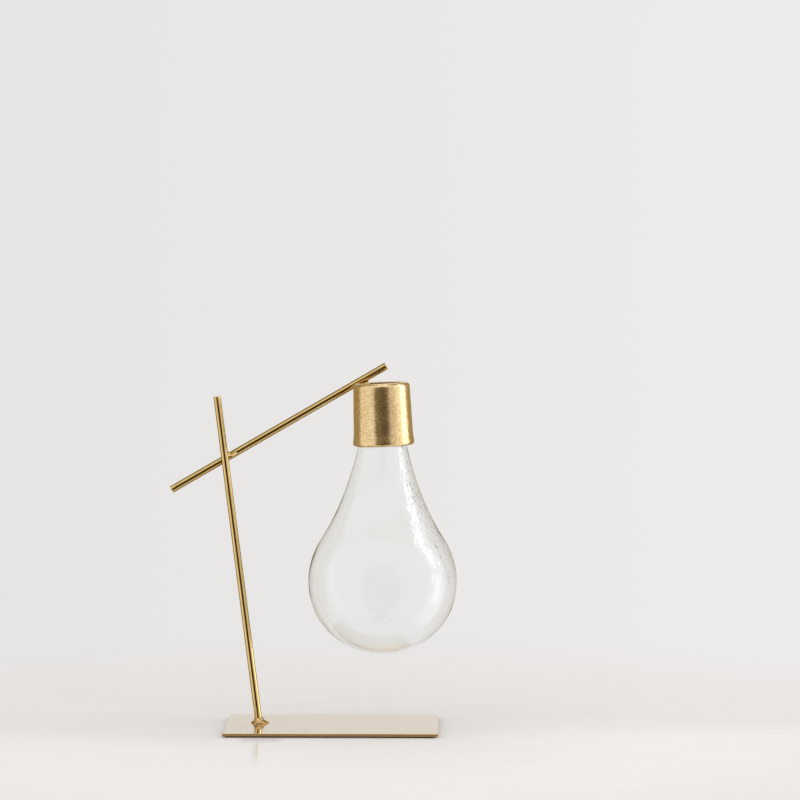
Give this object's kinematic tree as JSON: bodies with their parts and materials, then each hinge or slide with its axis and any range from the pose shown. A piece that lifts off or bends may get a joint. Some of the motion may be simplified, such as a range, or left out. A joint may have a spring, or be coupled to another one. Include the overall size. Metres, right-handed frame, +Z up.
{
  "type": "hanging glass bulb vase",
  "caption": "Clear glass vase in the shape of a lamp bulb, screwed mouth up into a gold metal collar that crossed rods carry over a flat rectangular base plate.",
  "frame": {"origin": "centre of the base's underside, on the surface that the vase stands on", "axes": "+Z up, +X along the base plate towards the glass, +Y towards the back, away from the side that the picture shows"},
  "size_m": [0.1557, 0.08, 0.1979],
  "materials": {
    "plate_lacquer": "satin gold lacquer on steel sheet",
    "rod_lacquer": "glossy gold lacquer on steel rod",
    "weld_metal": "gold lacquer over rough weld",
    "collar_lacquer": "satin metallic gold lacquer with a fine grain",
    "sheet_foam": "matte black non-slip foam",
    "liner_plastic": "moulded natural plastic",
    "seal_silicone": "translucent white silicone",
    "clear_glass": "clear blown glass"
  },
  "bodies": {
    "stand": {"base_sheet": "sheet_foam", "base_plate": "plate_lacquer", "foot_weld": "weld_metal", "upright_rod": "rod_lacquer", "crossing_weld": "weld_metal", "arm_rod": "rod_lacquer", "collar_weld": "weld_metal", "collar": "collar_lacquer", "thread_liner": "liner_plastic"},
    "seal": {"neck_seal": "seal_silicone"},
    "bulb": {"glass_bulb": "clear_glass"}
  },
  "joints": [
    {"name": "bulb_lowering", "type": "slide", "parent": "stand", "child": "seal", "axis": [0, 0, -1], "range_m": [0, 0.01005]},
    {"name": "bulb_unscrew", "type": "hinge", "parent": "seal", "child": "bulb", "pos_m": [0.02748, -0.00659, 0.17], "axis": [0, 0, -1], "range_deg": [0, 900]}
  ],
  "couplings": [
    {"joint": "bulb_lowering", "follows": "bulb_unscrew", "m_per_rad": 0.00063662}
  ]
}
